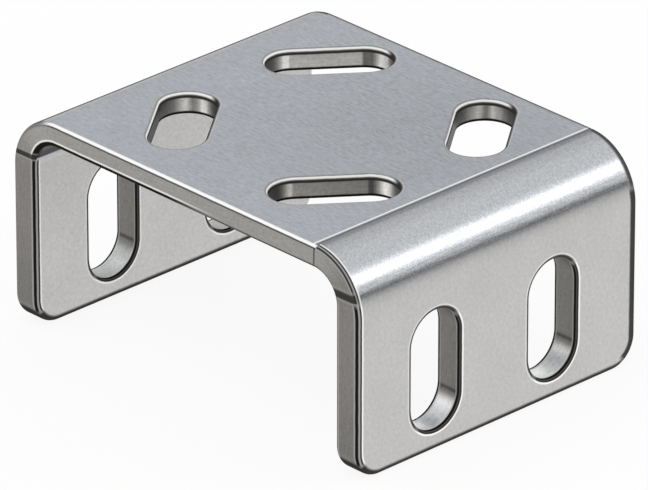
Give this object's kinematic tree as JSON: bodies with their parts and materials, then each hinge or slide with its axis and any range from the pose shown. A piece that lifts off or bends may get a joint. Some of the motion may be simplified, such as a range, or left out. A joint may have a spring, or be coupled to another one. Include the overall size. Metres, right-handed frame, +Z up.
{
  "type": "stamped metal bracket",
  "caption": "U-shaped bracket folded from thick steel plate: slotted flat top, rounded bends and two slotted flanges that straddle a rail or post.",
  "frame": {"origin": "under the middle of the bracket, level with the feet of its flanges", "axes": "+X across the channel towards one flange, +Y along the bends, +Z up out of the top face"},
  "size_m": [0.08, 0.062, 0.0382],
  "materials": {
    "brushed_steel": "fine brushed grain with rounded, burnished edges"
  },
  "bodies": {
    "root": {"bracket": "brushed_steel"}
  },
  "joints": []
}
